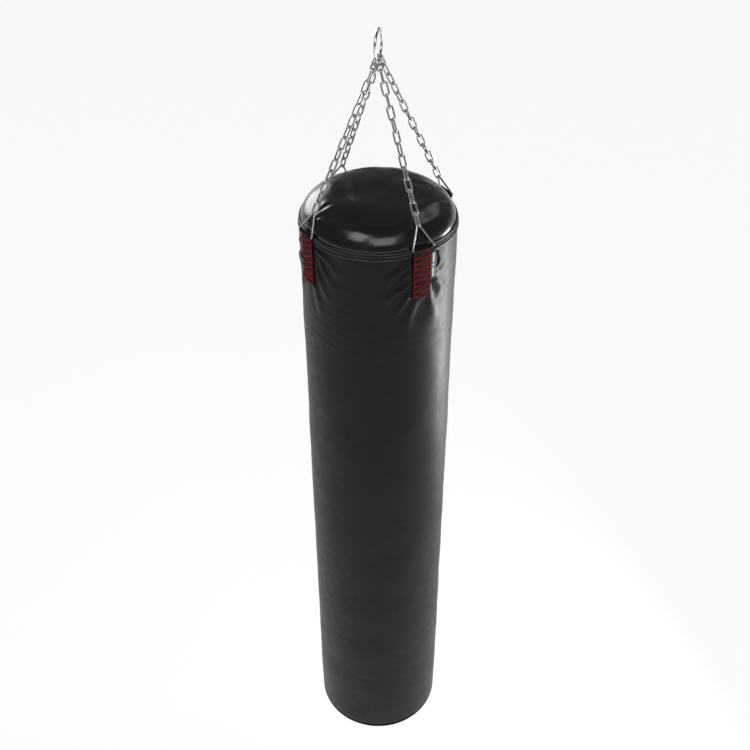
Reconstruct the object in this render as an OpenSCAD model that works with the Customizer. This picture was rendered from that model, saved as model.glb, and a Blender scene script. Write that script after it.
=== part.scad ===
// Hanging heavy bag: a filled vinyl cylinder on four chains and one steel ring.
// Millimetres, +Z up. The origin is the inside of the top of the ring, where a hook bears.
// The ring stands in the YZ plane. Heights named *_z below the ring are measured from the seam,
// the plane where the bag's side meets the zip, which lies seam_drop below the origin.

/* [Hanging ring] */
// Inside diameter of the ring
ring_id = 52; // [52:1:70]
// Wire diameter of the ring
ring_wire = 6; // [6:0.5:7]

/* [Chains] */
// Wire diameter of a chain link
link_wire = 4; // [3.6:0.1:4]
// Outside width of a chain link
link_w = 16; // [16:0.5:18]
// Links in each chain
link_n = 14; // [12:1:16]
// Clearance between links that hang in each other
link_gap = 0.15; // [0.1:0.05:0.3]
// Clearance between the ring and the top links
ring_gap = 0.4; // [0.3:0.05:0.5]

/* [Triangle rings] */
// Wire diameter of a triangle ring
tri_wire = 4; // [3:0.5:4]
// Height of a triangle ring, from centre of base to centre of tip
tri_h = 50; // [44:1:60]
// Width of the base between wire centres
tri_base = 54; // [54:1:60]
// Radius of the bend at the tip, on the wire's centre line
tip_bend = 4.2; // [4.2:0.1:5]
// Radius of the bends at the base, on the wire's centre line
base_bend = 3.2; // [3:0.1:3.4]

/* [Straps] */
// Width of the webbing
strap_w = 47; // [40:1:47]
// Thickness of one ply of webbing
strap_ply = 1.6; // [1:0.1:1.6]
// How far the strap reaches below the seam
strap_drop = 104; // [90:1:150]
// Height of the triangle ring's base above the seam
strap_bar_z = 17.5; // [16:0.5:24]

/* [Bag] */
// Outside diameter of the bag
bag_d = 350; // [350:1:360]
// Length of the straight side, from the seam down
bag_len = 1680; // [1200:1:1800]
// Depth of the rounded bottom
bag_bulge = 30; // [20:1:40]
// Thickness of the vinyl
vinyl = 1.2; // [1:0.1:1.4]
// Distance from the ring's bearing point down to the seam
seam_drop = 414; // [410:1:440]

/* [Lid] */
// How far the filled lid puffs up above its piping
lid_puff = 50; // [30:1:50]
// How far the middle of the lid rises further
lid_crown = 5; // [1:0.5:6]
// Distance of the lid's fold line from the bag's axis
flap_y = 151; // [151:0.5:153]

/* [Zip] */
// Length of the slider along the zip
slider_len = 12; // [10:0.5:12]
// Where the slider is parked, in degrees round the bag
slider_home = 57; // [57:0.5:58]
// Length of the pull tab
pull_len = 32; // [20:1:40]

/* [Hidden] */

eps = 0.01;
bag_r = bag_d / 2;
seam_z = -seam_drop;

// Ring and chain lanes: where each chain crosses the ring's wire
ring_r = ring_id / 2 + ring_wire / 2;
ring_cz = -ring_id / 2;
lane_inner = 4.1;
lane_outer = 8.6;
// Azimuth of each chain, and the lane it uses on the ring, front lanes negative
AZ = [-45, 45, 135, -135];
LANE = [-lane_inner, lane_outer, lane_inner, -lane_outer];
FRONT_RIGHT = 0;
BACK_RIGHT = 1;
BACK_LEFT = 2;
FRONT_LEFT = 3;

// Link shape
link_bend = 4.2;
link_side = link_w / 2 - link_wire / 2;

// Straps lie outside the welt, two plies thick
strap_in = bag_r + 1;
strap_out = strap_in + 2 * strap_ply;
loop_clear = 0.3;
loop_in = tri_wire / 2 + loop_clear;
bar_r = strap_in + strap_ply + loop_in;
bar_z = seam_z + strap_bar_z;

// Zip band, radii and heights above the seam
tape_in = bag_r - 2.4;
tape_out = bag_r - 1.6;
coil_out = bag_r + 0.2;
tape_low_z = [2.4, 6.9];
tape_up_z = [8.3, 12.2];
coil_low_z = [4.7, 6.9];
coil_up_z = [8.3, 10.5];
welt_wire = 2.4;
piping_wire = 3.6;
piping_r = bag_r - 2.5;
piping_z = tape_up_z[1] + piping_wire / 2;
lid_r = piping_r - piping_wire / 2 - 0.1;
lid_edge_z = piping_z + 1;
flap_gap = 0.5;
// Azimuths where the flap's share of the rim starts, and where the fixed share starts beyond it
flap_step = 0.2;
flap_from = asin(flap_y / piping_r) + flap_step / 2;
flap_sweep = 180 - 2 * flap_from;
fixed_from = flap_from + flap_sweep + flap_step;
fixed_sweep = 360 - flap_sweep - 2 * flap_step;

// Inner parts
band_out = bag_r - vinyl - 0.2;
band_in = band_out - 1.2;
band_z = [-45, -3];
backing_out = band_in - 0.2;
backing_in = backing_out - 1.2;
backing_w = 70;
backing_z = [-150, -4];
liner_out = backing_in - 0.2;
liner_in = liner_out - 6;
liner_top = -6;
fill_top = -22;
fill_low = -bag_len + 12;

// Triangle ring tilt: it leans along the line from its bar to the ring
ring_low_z = ring_cz - ring_r;
lean = atan2(bar_r, ring_low_z - bar_z);

function on_az(r, a, z) = [r * cos(a), r * sin(a), z];
function wire_point(i) = [0, LANE[i], ring_cz - sqrt(ring_r * ring_r - LANE[i] * LANE[i])];
function tip_point(i) = on_az(bar_r - tri_h * sin(lean), AZ[i], bar_z + tri_h * cos(lean));
function chain_vec(i) = wire_point(i) - tip_point(i);
function chain_az(i) = atan2(chain_vec(i)[1], chain_vec(i)[0]);
function chain_tilt(i) = acos(chain_vec(i)[2] / norm(chain_vec(i)));

// Along a chain, measured up from the tip of the triangle ring
function first_bar() = -(link_wire + tri_wire) / 2 - link_gap;
function last_bar(i) = norm(chain_vec(i)) + (link_wire + ring_wire) / 2 + ring_gap;
function pitch(i) = (last_bar(i) - first_bar() - link_wire) / link_n;
function link_len(i) = pitch(i) + link_gap * (link_n - 1) / link_n;
function link_centre(i, k) = first_bar() + (link_len(i) + link_wire) / 2 + (link_n - k) * link_step(i);
function link_step(i) = link_len(i) - link_gap;

// Roll of link k: every other link is turned 90 degrees, and the top ones turn to sit on the ring
roll_links = 6;
function ring_normal(i) = let (v = chain_vec(i), s = v[1] / norm([v[1], v[2]])) [0, sqrt(1 - s * s), -s];
function top_roll(i) =
    let (a = chain_az(i), t = chain_tilt(i), n = ring_normal(i))
    let (x = [cos(a) * cos(t), sin(a) * cos(t), -sin(t)], y = [-sin(a), cos(a), 0])
    atan2(-(n * x), n * y);
function folded(a) = a - 180 * round(a / 180);
function top_turn(i) = folded(top_roll(i) - plain_roll(1));
function plain_roll(k) = (link_n - k) % 2 == 0 ? 0 : 90;
function link_roll(i, k) = plain_roll(k) + top_turn(i) * max(0, 1 - (k - 1) / roll_links);

// Height of the lid's top face above the seam at radius r
function lid_z(r) = lid_edge_z + lid_crown * (1 - pow(r / lid_r, 2))
    + lid_puff * pow(max(0, 1 - pow(r / lid_r, 5)), 0.625);
// Height of the bottom's outer face at radius r, for a bottom of radius R and depth d
function bottom_z(r, R, d) = -bag_len - d * sqrt(max(0, 1 - pow(r / R, 3)));

module at_seam() {
    translate([0, 0, seam_z]) children();
}

// A band round the bag's axis: radii a to b, heights z[0] to z[1], from azimuth from, through sweep
module band(a, b, z, from = 0, sweep = 360) {
    rotate([0, 0, from])
        rotate_extrude(angle = sweep, $fn = 180)
            translate([a, z[0]]) square([b - a, z[1] - z[0]]);
}

// A round bead round the bag's axis
module bead(r, z, wire, from = 0, sweep = 360) {
    rotate([0, 0, from])
        rotate_extrude(angle = sweep, $fn = 180)
            translate([r, z]) circle(d = wire, $fn = 24);
}

// All the space behind the plane y, near the lid
module space_behind(y) {
    at_seam() translate([-bag_d, y, -bag_r]) cube([2 * bag_d, bag_d, bag_d]);
}

module hanging_ring() {
    color("silver")
        translate([0, 0, ring_cz])
            rotate([0, 90, 0])
                rotate_extrude($fn = 96)
                    translate([ring_r, 0]) circle(d = ring_wire, $fn = 32);
}

// A wire bend in the XZ plane about the origin, from angle a0 through sweep
module bend(r, wire, a0, sweep) {
    rotate([90, 0, 0])
        rotate([0, 0, a0])
            rotate_extrude(angle = sweep, $fn = 48)
                translate([r, 0]) circle(d = wire, $fn = 24);
}

// One chain link in the XZ plane, its inside length len along Z
module link(len) {
    half = (len + link_wire) / 2;
    for (sx = [-1, 1]) {
        translate([sx * link_side, 0, link_bend - half])
            cylinder(d = link_wire, h = 2 * (half - link_bend), $fn = 24);
    }
    for (sz = [-1, 1]) {
        translate([link_bend - link_side, 0, sz * half])
            rotate([0, 90, 0])
                cylinder(d = link_wire, h = 2 * (link_side - link_bend), $fn = 24);
    }
    for (q = [0:3]) {
        sx = q == 0 || q == 3 ? 1 : -1;
        sz = q < 2 ? 1 : -1;
        translate([sx * (link_side - link_bend), 0, sz * (half - link_bend)])
            bend(link_bend, link_wire, q * 90, 90);
    }
}

module chain(i) {
    color("gainsboro")
        for (k = [1:link_n])
            translate(tip_point(i))
                rotate([0, chain_tilt(i), chain_az(i)])
                    translate([0, 0, link_centre(i, k)])
                        rotate([0, 0, link_roll(i, k)])
                            link(link_len(i));
}

// A triangle ring in the XZ plane of its own frame: base along X, tip up.
// Its centre line is three bends joined by straights, each bend a list of [centre, radius, angle] rows.
function bend_rows(centre, r, a0, a1, steps) = [for (s = [0:steps]) [centre, r, a0 + (a1 - a0) * s / steps]];

module triangle_wire() {
    b = tri_base / 2 - base_bend;
    h = tri_h - base_bend - tip_bend;
    slant = atan2(b, h) + asin((base_bend - tip_bend) / norm([b, h]));
    rows = concat(
        bend_rows([b, base_bend], base_bend, -90, slant, 8),
        bend_rows([0, base_bend + h], tip_bend, slant, 180 - slant, 8),
        bend_rows([-b, base_bend], base_bend, 180 - slant, 270, 8));
    sides = 12;
    points = [for (row = rows)
        for (j = [0:sides - 1])
            let (turn = 360 * j / sides, out = row[1] + tri_wire / 2 * cos(turn))
            [row[0][0] + out * cos(row[2]), tri_wire / 2 * sin(turn), row[0][1] + out * sin(row[2])]];
    n = len(rows);
    faces = [for (i = [0:n - 1])
        for (j = [0:sides - 1])
            let (i2 = (i + 1) % n, j2 = (j + 1) % sides)
            [i * sides + j, i2 * sides + j, i2 * sides + j2, i * sides + j2]];
    polyhedron(points, faces);
}

module triangle(i) {
    color("gainsboro")
        translate(on_az(bar_r, AZ[i], bar_z))
            rotate([0, -lean, AZ[i]])
                rotate([0, 0, 90])
                    triangle_wire();
}

// A strap: two plies down the side, folded over the base of its triangle ring
module strap(i) {
    sweep = strap_w / (strap_in + strap_ply) * 180 / PI;
    flat_z = -5;
    color("black")
        at_seam()
            rotate([0, 0, AZ[i]]) {
                band(strap_in, strap_out, [-strap_drop, -2], -sweep / 2, sweep);
                rotate([90, 0, 0])
                    linear_extrude(strap_w, center = true)
                        difference() {
                            hull() {
                                translate([bar_r, strap_bar_z]) circle(r = loop_in + strap_ply, $fn = 32);
                                translate([strap_in, flat_z]) square([strap_out - strap_in, 1]);
                            }
                            hull() {
                                translate([bar_r, strap_bar_z]) circle(r = loop_in, $fn = 32);
                                translate([strap_in + strap_ply - 0.1, 0]) square([0.2, 0.2]);
                            }
                        }
            }
}

// The patch inside the cover that the strap is sewn through to
module backing(i) {
    sweep = backing_w / backing_out * 180 / PI;
    color("dimgray")
        at_seam()
            band(backing_in, backing_out, backing_z, AZ[i] - sweep / 2, sweep);
}

module side_cover() {
    color([0.12, 0.12, 0.12])
        at_seam() band(bag_r - vinyl, bag_r, [-bag_len, 0]);
}

module bottom_panel() {
    steps = 14;
    rim = bag_r - vinyl;
    outer = [for (s = [0:steps]) let (r = bag_r * sin(90 * s / steps)) [r, bottom_z(r, bag_r, bag_bulge)]];
    inner = [for (s = [steps:-1:0])
        let (r = rim * sin(90 * s / steps)) [r, bottom_z(r, rim, bag_bulge - vinyl)]];
    color([0.12, 0.12, 0.12])
        at_seam()
            rotate_extrude($fn = 180)
                polygon(concat(outer, inner));
}

module bottom_seam_tape() {
    color("dimgray")
        at_seam() band(band_in, band_out, [-bag_len, 25 - bag_len]);
}

module rim_band() {
    color("dimgray")
        at_seam() band(band_in, band_out, band_z);
}

module rim_welt() {
    color([0.15, 0.15, 0.15])
        at_seam() bead(bag_r - 0.3, welt_wire / 2, welt_wire);
}

module foam_liner() {
    color("gray")
        at_seam() band(liner_in, liner_out, [fill_low, liner_top]);
}

module filling() {
    color("slategray")
        at_seam() band(0, liner_in - 0.2, [fill_low, fill_top]);
}

module base_pad() {
    steps = 10;
    rim = band_in - 0.3;
    low = [for (s = [0:steps])
        let (r = rim * sin(90 * s / steps)) [r, bottom_z(r, rim, bag_bulge - vinyl - 1)]];
    color("darkslategray")
        at_seam()
            rotate_extrude($fn = 120)
                polygon(concat([[0, fill_low - 0.2]], low, [[rim, fill_low - 0.2]]));
}

module top_pad() {
    steps = 12;
    rim = lid_r - 10;
    gap = 3;
    low_z = fill_top + 0.2;
    top = [for (s = [steps:-1:0])
        let (r = rim * sin(90 * s / steps)) [r, lid_z(r * lid_r / (lid_r - gap)) - gap]];
    color("darkslategray")
        at_seam()
            rotate_extrude($fn = 120)
                polygon(concat([[0, low_z], [rim, low_z]], top));
}

module lid_shell() {
    steps = 18;
    top = [for (s = [0:steps]) let (r = lid_r * sin(90 * s / steps)) [r, lid_z(r)]];
    under = [for (s = [steps:-1:0])
        let (r = lid_r * sin(90 * s / steps)) [r * (1 - vinyl / lid_r), lid_z(r) - vinyl]];
    at_seam()
        rotate_extrude($fn = 180)
            polygon(concat(top, under));
}

module lid() {
    color([0.1, 0.1, 0.1])
        difference() {
            lid_shell();
            space_behind(flap_y - flap_gap / 2);
        }
}

module lid_flap() {
    color([0.1, 0.1, 0.1])
        intersection() {
            lid_shell();
            space_behind(flap_y + flap_gap / 2);
        }
}

module lid_piping() {
    color([0.15, 0.15, 0.15])
        at_seam() bead(piping_r, piping_z, piping_wire, fixed_from, fixed_sweep);
}

module lid_piping_flap() {
    color([0.15, 0.15, 0.15])
        at_seam() bead(piping_r, piping_z, piping_wire, flap_from, flap_sweep);
}

module zip_tape_lower() {
    color("black") at_seam() band(tape_in, tape_out, tape_low_z);
}

module zip_tape_upper() {
    color("black") at_seam() band(tape_in, tape_out, tape_up_z, fixed_from, fixed_sweep);
}

module zip_tape_upper_flap() {
    color("black") at_seam() band(tape_in, tape_out, tape_up_z, flap_from, flap_sweep);
}

// The coils leave a short gap under the back right strap, where their two ends meet
coil_from = AZ[BACK_RIGHT] + 2;
coil_sweep = 356;

module zip_coil_lower() {
    color([0.2, 0.2, 0.2])
        at_seam() band(tape_out, coil_out, coil_low_z, coil_from, coil_sweep);
}

module zip_coil_upper() {
    color([0.2, 0.2, 0.2])
        at_seam() {
            band(tape_out, coil_out, coil_up_z, coil_from, flap_from - flap_step - coil_from);
            band(tape_out, coil_out, coil_up_z, fixed_from, coil_from + coil_sweep - fixed_from);
        }
}

module zip_coil_upper_flap() {
    color([0.2, 0.2, 0.2])
        at_seam() band(tape_out, coil_out, coil_up_z, flap_from, flap_sweep);
}

module zip_stops() {
    color("silver")
        at_seam()
            for (side = [-1, 1])
                band(tape_out, coil_out, [coil_low_z[0], coil_up_z[1]],
                    AZ[BACK_RIGHT] + side * 1.3 - 0.35, 0.7);
}

// Slider sizes, radii from the bag's axis and heights above the seam
plate_out = [coil_out + 0.4, coil_out + 2];
plate_back = [tape_in - 2.2, tape_in - 0.6];
plate_z = [2.8, 12.4];
mid_z = (coil_low_z[1] + coil_up_z[0]) / 2;
neck_z = 0.4;
pin_r = 0.9;
pull_bore = 0.95;
pivot_r = plate_out[1] + 2.4;
pivot_z = 9;
lug_in = 2;
lug_out = 3;
eye_r = 2;

module slider_box(r, y, z) {
    translate([r[0], y[0], z[0]]) cube([r[1] - r[0], y[1] - y[0], z[1] - z[0]]);
}

module zip_slider() {
    half = slider_len / 2;
    color("dimgray")
        at_seam()
            rotate([0, 0, slider_home]) {
                slider_box(plate_out, [-half, half], plate_z);
                slider_box([tape_out + 0.8, plate_out[0] + eps], [-half, half], [plate_z[0], plate_z[0] + 1.2]);
                slider_box([tape_out + 0.8, plate_out[0] + eps], [-half, half], [plate_z[1] - 1.2, plate_z[1]]);
                slider_box([plate_back[1] - eps, plate_out[0] + eps], [-half, -half + 3],
                    [mid_z - neck_z, mid_z + neck_z]);
                slider_box(plate_back, [-half, half], [plate_z[0] + 0.6, plate_z[1] - 0.6]);
                for (side = [-1, 1])
                    slider_box([plate_out[1] - eps, pivot_r + 1.5],
                        [min(side * lug_in, side * lug_out), max(side * lug_in, side * lug_out)],
                        [pivot_z - 1.5, pivot_z + 1.5]);
                translate([pivot_r, -lug_out, pivot_z])
                    rotate([-90, 0, 0])
                        cylinder(r = pin_r, h = 2 * lug_out, $fn = 24);
            }
}

module zip_pull() {
    eye_w = 2 * lug_in - 0.6;
    tab_w = 8;
    tab_t = 1.6;
    color("gray")
        at_seam()
            rotate([0, 0, slider_home])
                translate([pivot_r, 0, pivot_z])
                    difference() {
                        union() {
                            rotate([90, 0, 0]) cylinder(r = eye_r, h = eye_w, center = true, $fn = 24);
                            translate([-tab_t / 2, -eye_w / 2, -8]) cube([tab_t, eye_w, 7]);
                            translate([-tab_t / 2, -tab_w / 2, -pull_len + tab_w / 2])
                                cube([tab_t, tab_w, pull_len - tab_w / 2 - 7]);
                            translate([-tab_t / 2, 0, -pull_len + tab_w / 2])
                                rotate([0, 90, 0]) cylinder(d = tab_w, h = tab_t, $fn = 32);
                        }
                        rotate([90, 0, 0]) cylinder(r = pull_bore, h = 2 * lug_out, center = true, $fn = 24);
                        translate([-tab_t, 0, -pull_len + tab_w / 2])
                            rotate([0, 90, 0]) cylinder(r = 1.8, h = 2 * tab_t, $fn = 24);
                    }
}

// A woven side tag whose edge is caught under the front right strap
module side_label() {
    label_w = 13;
    strap_edge = AZ[FRONT_RIGHT] + strap_w / 2 / (strap_in + strap_ply) * 180 / PI;
    color("black")
        at_seam()
            band(bag_r + 0.1, bag_r + 0.9, [-68, -1], strap_edge + 0.1, label_w / bag_r * 180 / PI);
}

hanging_ring();
chain(FRONT_RIGHT);  // chain_front_right
chain(BACK_RIGHT);  // chain_back_right
chain(BACK_LEFT);  // chain_back_left
chain(FRONT_LEFT);  // chain_front_left
triangle(FRONT_RIGHT);  // triangle_front_right
triangle(BACK_RIGHT);  // triangle_back_right
triangle(BACK_LEFT);  // triangle_back_left
triangle(FRONT_LEFT);  // triangle_front_left
strap(FRONT_RIGHT);  // strap_front_right
strap(BACK_RIGHT);  // strap_back_right
strap(BACK_LEFT);  // strap_back_left
strap(FRONT_LEFT);  // strap_front_left
backing(FRONT_RIGHT);  // backing_front_right
backing(BACK_RIGHT);  // backing_back_right
backing(BACK_LEFT);  // backing_back_left
backing(FRONT_LEFT);  // backing_front_left
side_cover();
bottom_panel();
bottom_seam_tape();
rim_band();
rim_welt();
foam_liner();
filling();
base_pad();
top_pad();
lid();
lid_flap();
lid_piping();
lid_piping_flap();
zip_tape_lower();
zip_tape_upper();
zip_tape_upper_flap();
zip_coil_lower();
zip_coil_upper();
zip_coil_upper_flap();
zip_stops();
zip_slider();
zip_pull();
side_label();
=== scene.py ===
"""A hanging heavy bag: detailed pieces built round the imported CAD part. Metres, +Z up."""

import math

import bmesh
import bpy
import numpy as np
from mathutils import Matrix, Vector


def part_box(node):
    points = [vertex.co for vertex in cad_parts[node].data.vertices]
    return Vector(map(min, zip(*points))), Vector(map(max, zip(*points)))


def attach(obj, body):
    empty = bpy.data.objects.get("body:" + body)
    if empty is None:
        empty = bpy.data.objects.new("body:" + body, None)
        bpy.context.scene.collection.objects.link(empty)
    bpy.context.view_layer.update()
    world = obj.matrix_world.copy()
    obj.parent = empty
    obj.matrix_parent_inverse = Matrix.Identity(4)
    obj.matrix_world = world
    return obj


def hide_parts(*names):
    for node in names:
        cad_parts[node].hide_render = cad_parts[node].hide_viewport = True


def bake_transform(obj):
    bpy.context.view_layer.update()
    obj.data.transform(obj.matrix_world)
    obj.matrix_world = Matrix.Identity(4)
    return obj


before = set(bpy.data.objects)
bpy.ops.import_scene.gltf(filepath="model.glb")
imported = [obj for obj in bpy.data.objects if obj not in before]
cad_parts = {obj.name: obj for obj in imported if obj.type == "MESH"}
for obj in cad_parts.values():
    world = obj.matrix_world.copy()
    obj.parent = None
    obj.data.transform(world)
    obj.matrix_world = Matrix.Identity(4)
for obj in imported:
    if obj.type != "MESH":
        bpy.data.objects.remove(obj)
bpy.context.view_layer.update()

MM = 0.001
PI = math.pi

# ---------------------------------------------------------------- what the CAD says
cover_lo, cover_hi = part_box("side_cover")
BAG_R = cover_hi.x
SEAM = cover_hi.z
BAG_LEN = cover_hi.z - cover_lo.z
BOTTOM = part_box("bottom_panel")[0].z
LID_R = -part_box("lid")[0].y
STRAPS = {"front_right": -45, "back_right": 45, "back_left": 135, "front_left": -135}
STRAP_W = 47 * MM
STRAP_FRONT = BAG_R + 3.4 * MM
STRAP_BACK = BAG_R + 1.8 * MM
STRAP_PLY = 1.5 * MM
# The filled lid: how far it puffs up above its piping, and how far its middle rises further, in mm
LID_PUFF, LID_CROWN = 50, 5
# How thick the coated fabric of each panel is drawn
COVER_SHEET = 1.4 * MM
BOTTOM_SHEET = 1.2 * MM
LID_SHEET = 1.15 * MM
# How far the front straps lift the rim, and how far it sags between them
RIM_RISE = 4 * MM
RIM_SAG = 1 * MM
FLOOR_R = 40
FLOOR_DROP = 0.35
FLOOR_SIDES = 96


# ---------------------------------------------------------------- camera and lights
# The camera was fitted to the photo's chains and outline
VIEW_TURN = math.radians(13.66)
WORLD_LIGHT = 0.16
# Soft glows in the sky: where, seen from the camera, the angles they fade between, and how bright
GLOWS = (((-0.5, 0.83, 0.22), 6, 21, 6.0), ((0.5, 0.6, 0.6), 3, 16, 1.1))


def add_camera():
    data = bpy.data.cameras.new("camera")
    data.lens = 48.96
    data.sensor_width = 36
    data.shift_x = -0.0044
    camera = bpy.data.objects.new("camera", data)
    camera.location = (0.4635, -1.907, SEAM + 1.1231)
    camera.rotation_euler = (math.radians(51.5), 0, VIEW_TURN)
    bpy.context.scene.collection.objects.link(camera)
    bpy.context.scene.camera = camera


def from_view(x, y, z):
    """A point given as right, away and up, seen from the camera, in the row frame."""
    c, s = math.cos(VIEW_TURN), math.sin(VIEW_TURN)
    return np.array([x * c - y * s, x * s + y * c, z])


def add_softbox(name, place, aim, width, height, power):
    data = bpy.data.lights.new(name, "AREA")
    data.shape = "RECTANGLE"
    data.size = width
    data.size_y = height
    data.energy = power
    light = bpy.data.objects.new(name, data)
    place, aim = from_view(*place), from_view(*aim)
    light.location = place
    light.rotation_euler = Vector(aim - place).to_track_quat("-Z", "Y").to_euler()
    light.visible_camera = False
    bpy.context.scene.collection.objects.link(light)


def map_range(tree, value, low, high, to_low, to_high):
    """A node that takes one range of values smoothly to another."""
    node = tree.nodes.new("ShaderNodeMapRange")
    node.interpolation_type = "SMOOTHSTEP"
    for key, number in zip(("From Min", "From Max", "To Min", "To Max"), (low, high, to_low, to_high)):
        node.inputs[key].default_value = number
    tree.links.new(value, node.inputs["Value"])
    return node.outputs["Result"]


def add_world():
    """Dim all round and paler at the horizon, with the soft glows."""
    world = bpy.data.worlds.new("studio")
    bpy.context.scene.world = world
    world.use_nodes = True
    nodes, links = world.node_tree.nodes, world.node_tree.links
    way = nodes.new("ShaderNodeTexCoord").outputs["Generated"]

    split = nodes.new("ShaderNodeSeparateXYZ")
    links.new(way, split.inputs[0])
    total = map_range(world.node_tree, split.outputs["Z"], 0.0, 0.08, 0.4, WORLD_LIGHT)
    for aim, near, far, bright in GLOWS:
        dot = nodes.new("ShaderNodeVectorMath")
        dot.operation = "DOT_PRODUCT"
        links.new(way, dot.inputs[0])
        aim = from_view(*aim)
        dot.inputs[1].default_value = aim / np.linalg.norm(aim)
        glow = map_range(world.node_tree, dot.outputs["Value"], math.cos(math.radians(far)),
                         math.cos(math.radians(near)), 0, bright)
        add = nodes.new("ShaderNodeMath")
        links.new(total, add.inputs[0])
        links.new(glow, add.inputs[1])
        total = add.outputs[0]
    links.new(total, nodes["Background"].inputs["Strength"])
    nodes["Background"].inputs["Color"].default_value = (1, 1, 1, 1)


def add_floor():
    """A round pale floor, wide enough to fill the picture."""
    mesh = bpy.data.meshes.new("floor")
    around = np.linspace(0, 2 * PI, FLOOR_SIDES, endpoint=False)
    level = np.full(FLOOR_SIDES, BOTTOM - FLOOR_DROP)
    rim = np.stack([FLOOR_R * np.cos(around), FLOOR_R * np.sin(around), level], 1)
    mesh.from_pydata(rim.tolist(), [], [list(range(FLOOR_SIDES))])
    floor = bpy.data.objects.new("floor", mesh)
    bpy.context.scene.collection.objects.link(floor)
    material = bpy.data.materials.new("floor_paper")
    material.use_nodes = True
    shader = material.node_tree.nodes["Principled BSDF"]
    shader.inputs["Base Color"].default_value = (0.2, 0.2, 0.2, 1)
    shader.inputs["Roughness"].default_value = 1
    shader.inputs["Specular IOR Level"].default_value = 0
    shader.inputs["Emission Color"].default_value = (1, 1, 1, 1)
    shader.inputs["Emission Strength"].default_value = 0.88
    mesh.materials.append(material)


bpy.context.scene.view_settings.view_transform = "Standard"
add_camera()
add_world()
add_floor()
# Overhead, in front and to the left: the bright patch on the lid's front slope
add_softbox("box_top", (-0.75, -0.95, 1.2), (-0.05, -0.15, SEAM), 0.7, 0.9, 8)
# Right, low and a little behind: the band down the bag's right side
add_softbox("box_right", (1.5, 0.45, -1.3), (0, 0, SEAM - 0.5), 0.5, 1.3, 34)
# In front, over the camera: a weak fill
add_softbox("box_front", (0.3, -3.0, 2.6), (0, 0, SEAM - 0.6), 2.0, 2.0, 40)


# ---------------------------------------------------------------- materials
class Material:
    """A Principled material whose colour, roughness and bump come from nodes."""

    def __init__(self, name, rough, metallic=0.0, specular=0.5):
        self.material = bpy.data.materials.new(name)
        self.material.use_nodes = True
        self.tree = self.material.node_tree
        self.shader = self.tree.nodes["Principled BSDF"]
        self.shader.inputs["Roughness"].default_value = rough
        self.shader.inputs["Metallic"].default_value = metallic
        self.shader.inputs["Specular IOR Level"].default_value = specular
        self.place = self.new("ShaderNodeTexCoord").outputs["Object"]
        self.bump_out = None

    def new(self, kind, **settings):
        node = self.tree.nodes.new(kind)
        for key, value in settings.items():
            setattr(node, key, value)
        return node

    def link(self, a, b):
        self.tree.links.new(a, b)

    def fed(self, node, **inputs):
        """Sets or links a node's inputs by name, with _ for a space."""
        for key, value in inputs.items():
            socket = node.inputs[key.replace("_", " ")]
            if isinstance(value, bpy.types.NodeSocket):
                self.link(value, socket)
            else:
                socket.default_value = value
        return node

    def noise(self, scale, detail=3.0, rough=0.55):
        node = self.fed(self.new("ShaderNodeTexNoise"), Vector=self.place, Scale=scale, Detail=detail,
                        Roughness=rough)
        return node.outputs["Fac"]

    def cells(self, scale):
        node = self.fed(self.new("ShaderNodeTexVoronoi", feature="F1"), Vector=self.place, Scale=scale)
        return node.outputs["Distance"]

    def spread(self, value, low, high, to_low=0.0, to_high=1.0):
        return map_range(self.tree, value, low, high, to_low, to_high)

    def math(self, operation, a, b=0.0):
        node = self.new("ShaderNodeMath", operation=operation)
        for socket, value in zip(node.inputs, (a, b)):
            if isinstance(value, bpy.types.NodeSocket):
                self.link(value, socket)
            else:
                socket.default_value = value
        return node.outputs[0]

    def mix(self, factor, a, b):
        node = self.new("ShaderNodeMix", data_type="RGBA")
        self.link(factor, node.inputs["Factor"])
        for index, value in ((6, a), (7, b)):
            if isinstance(value, bpy.types.NodeSocket):
                self.link(value, node.inputs[index])
            else:
                node.inputs[index].default_value = (*value, 1)
        return node.outputs[2]

    def attribute(self, name="lay"):
        """A piece's own surface coordinates in metres, stored with its mesh."""
        return self.new("ShaderNodeAttribute", attribute_name=name).outputs["Vector"]

    def parts(self, vector):
        node = self.new("ShaderNodeSeparateXYZ")
        self.link(vector, node.inputs[0])
        return node.outputs

    def colour(self, value):
        self.link(value, self.shader.inputs["Base Color"])
        return self

    def roughness(self, value):
        self.link(value, self.shader.inputs["Roughness"])
        return self

    def bump(self, height, strength, distance):
        node = self.new("ShaderNodeBump")
        node.inputs["Strength"].default_value = strength
        node.inputs["Distance"].default_value = distance
        self.link(height, node.inputs["Height"])
        if self.bump_out:
            self.link(self.bump_out, node.inputs["Normal"])
        self.bump_out = node.outputs["Normal"]
        self.link(self.bump_out, self.shader.inputs["Normal"])
        return self


def grey(value, tint=(1, 1, 1)):
    return tuple(value * t for t in tint)


def vinyl(name, dark, light, rough, specular, grain, uneven=0.25):
    """Coated fabric: a fine leather grain, slow unevenness and faint scuffs."""
    m = Material(name, rough, specular=specular)
    slow = m.noise(7, 4)
    scuffs = m.spread(m.noise(38, 6, 0.7), 0.56, 0.75)
    tone = m.mix(slow, grey(dark), grey(light, (1, 0.99, 0.97)))
    m.colour(m.mix(m.math("MULTIPLY", scuffs, 0.25), tone, grey(light * 2.2)))
    m.roughness(m.spread(m.math("ADD", m.noise(55, 5), m.math("MULTIPLY", slow, 0.6)), 0.4, 1.2,
                         rough - 0.05, rough + 0.08))
    m.bump(m.noise(14, 3), uneven, 0.0012)
    m.bump(m.cells(620), grain, 0.00018)
    m.bump(m.noise(1500, 2), grain * 0.6, 0.00008)
    return m.material


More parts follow.
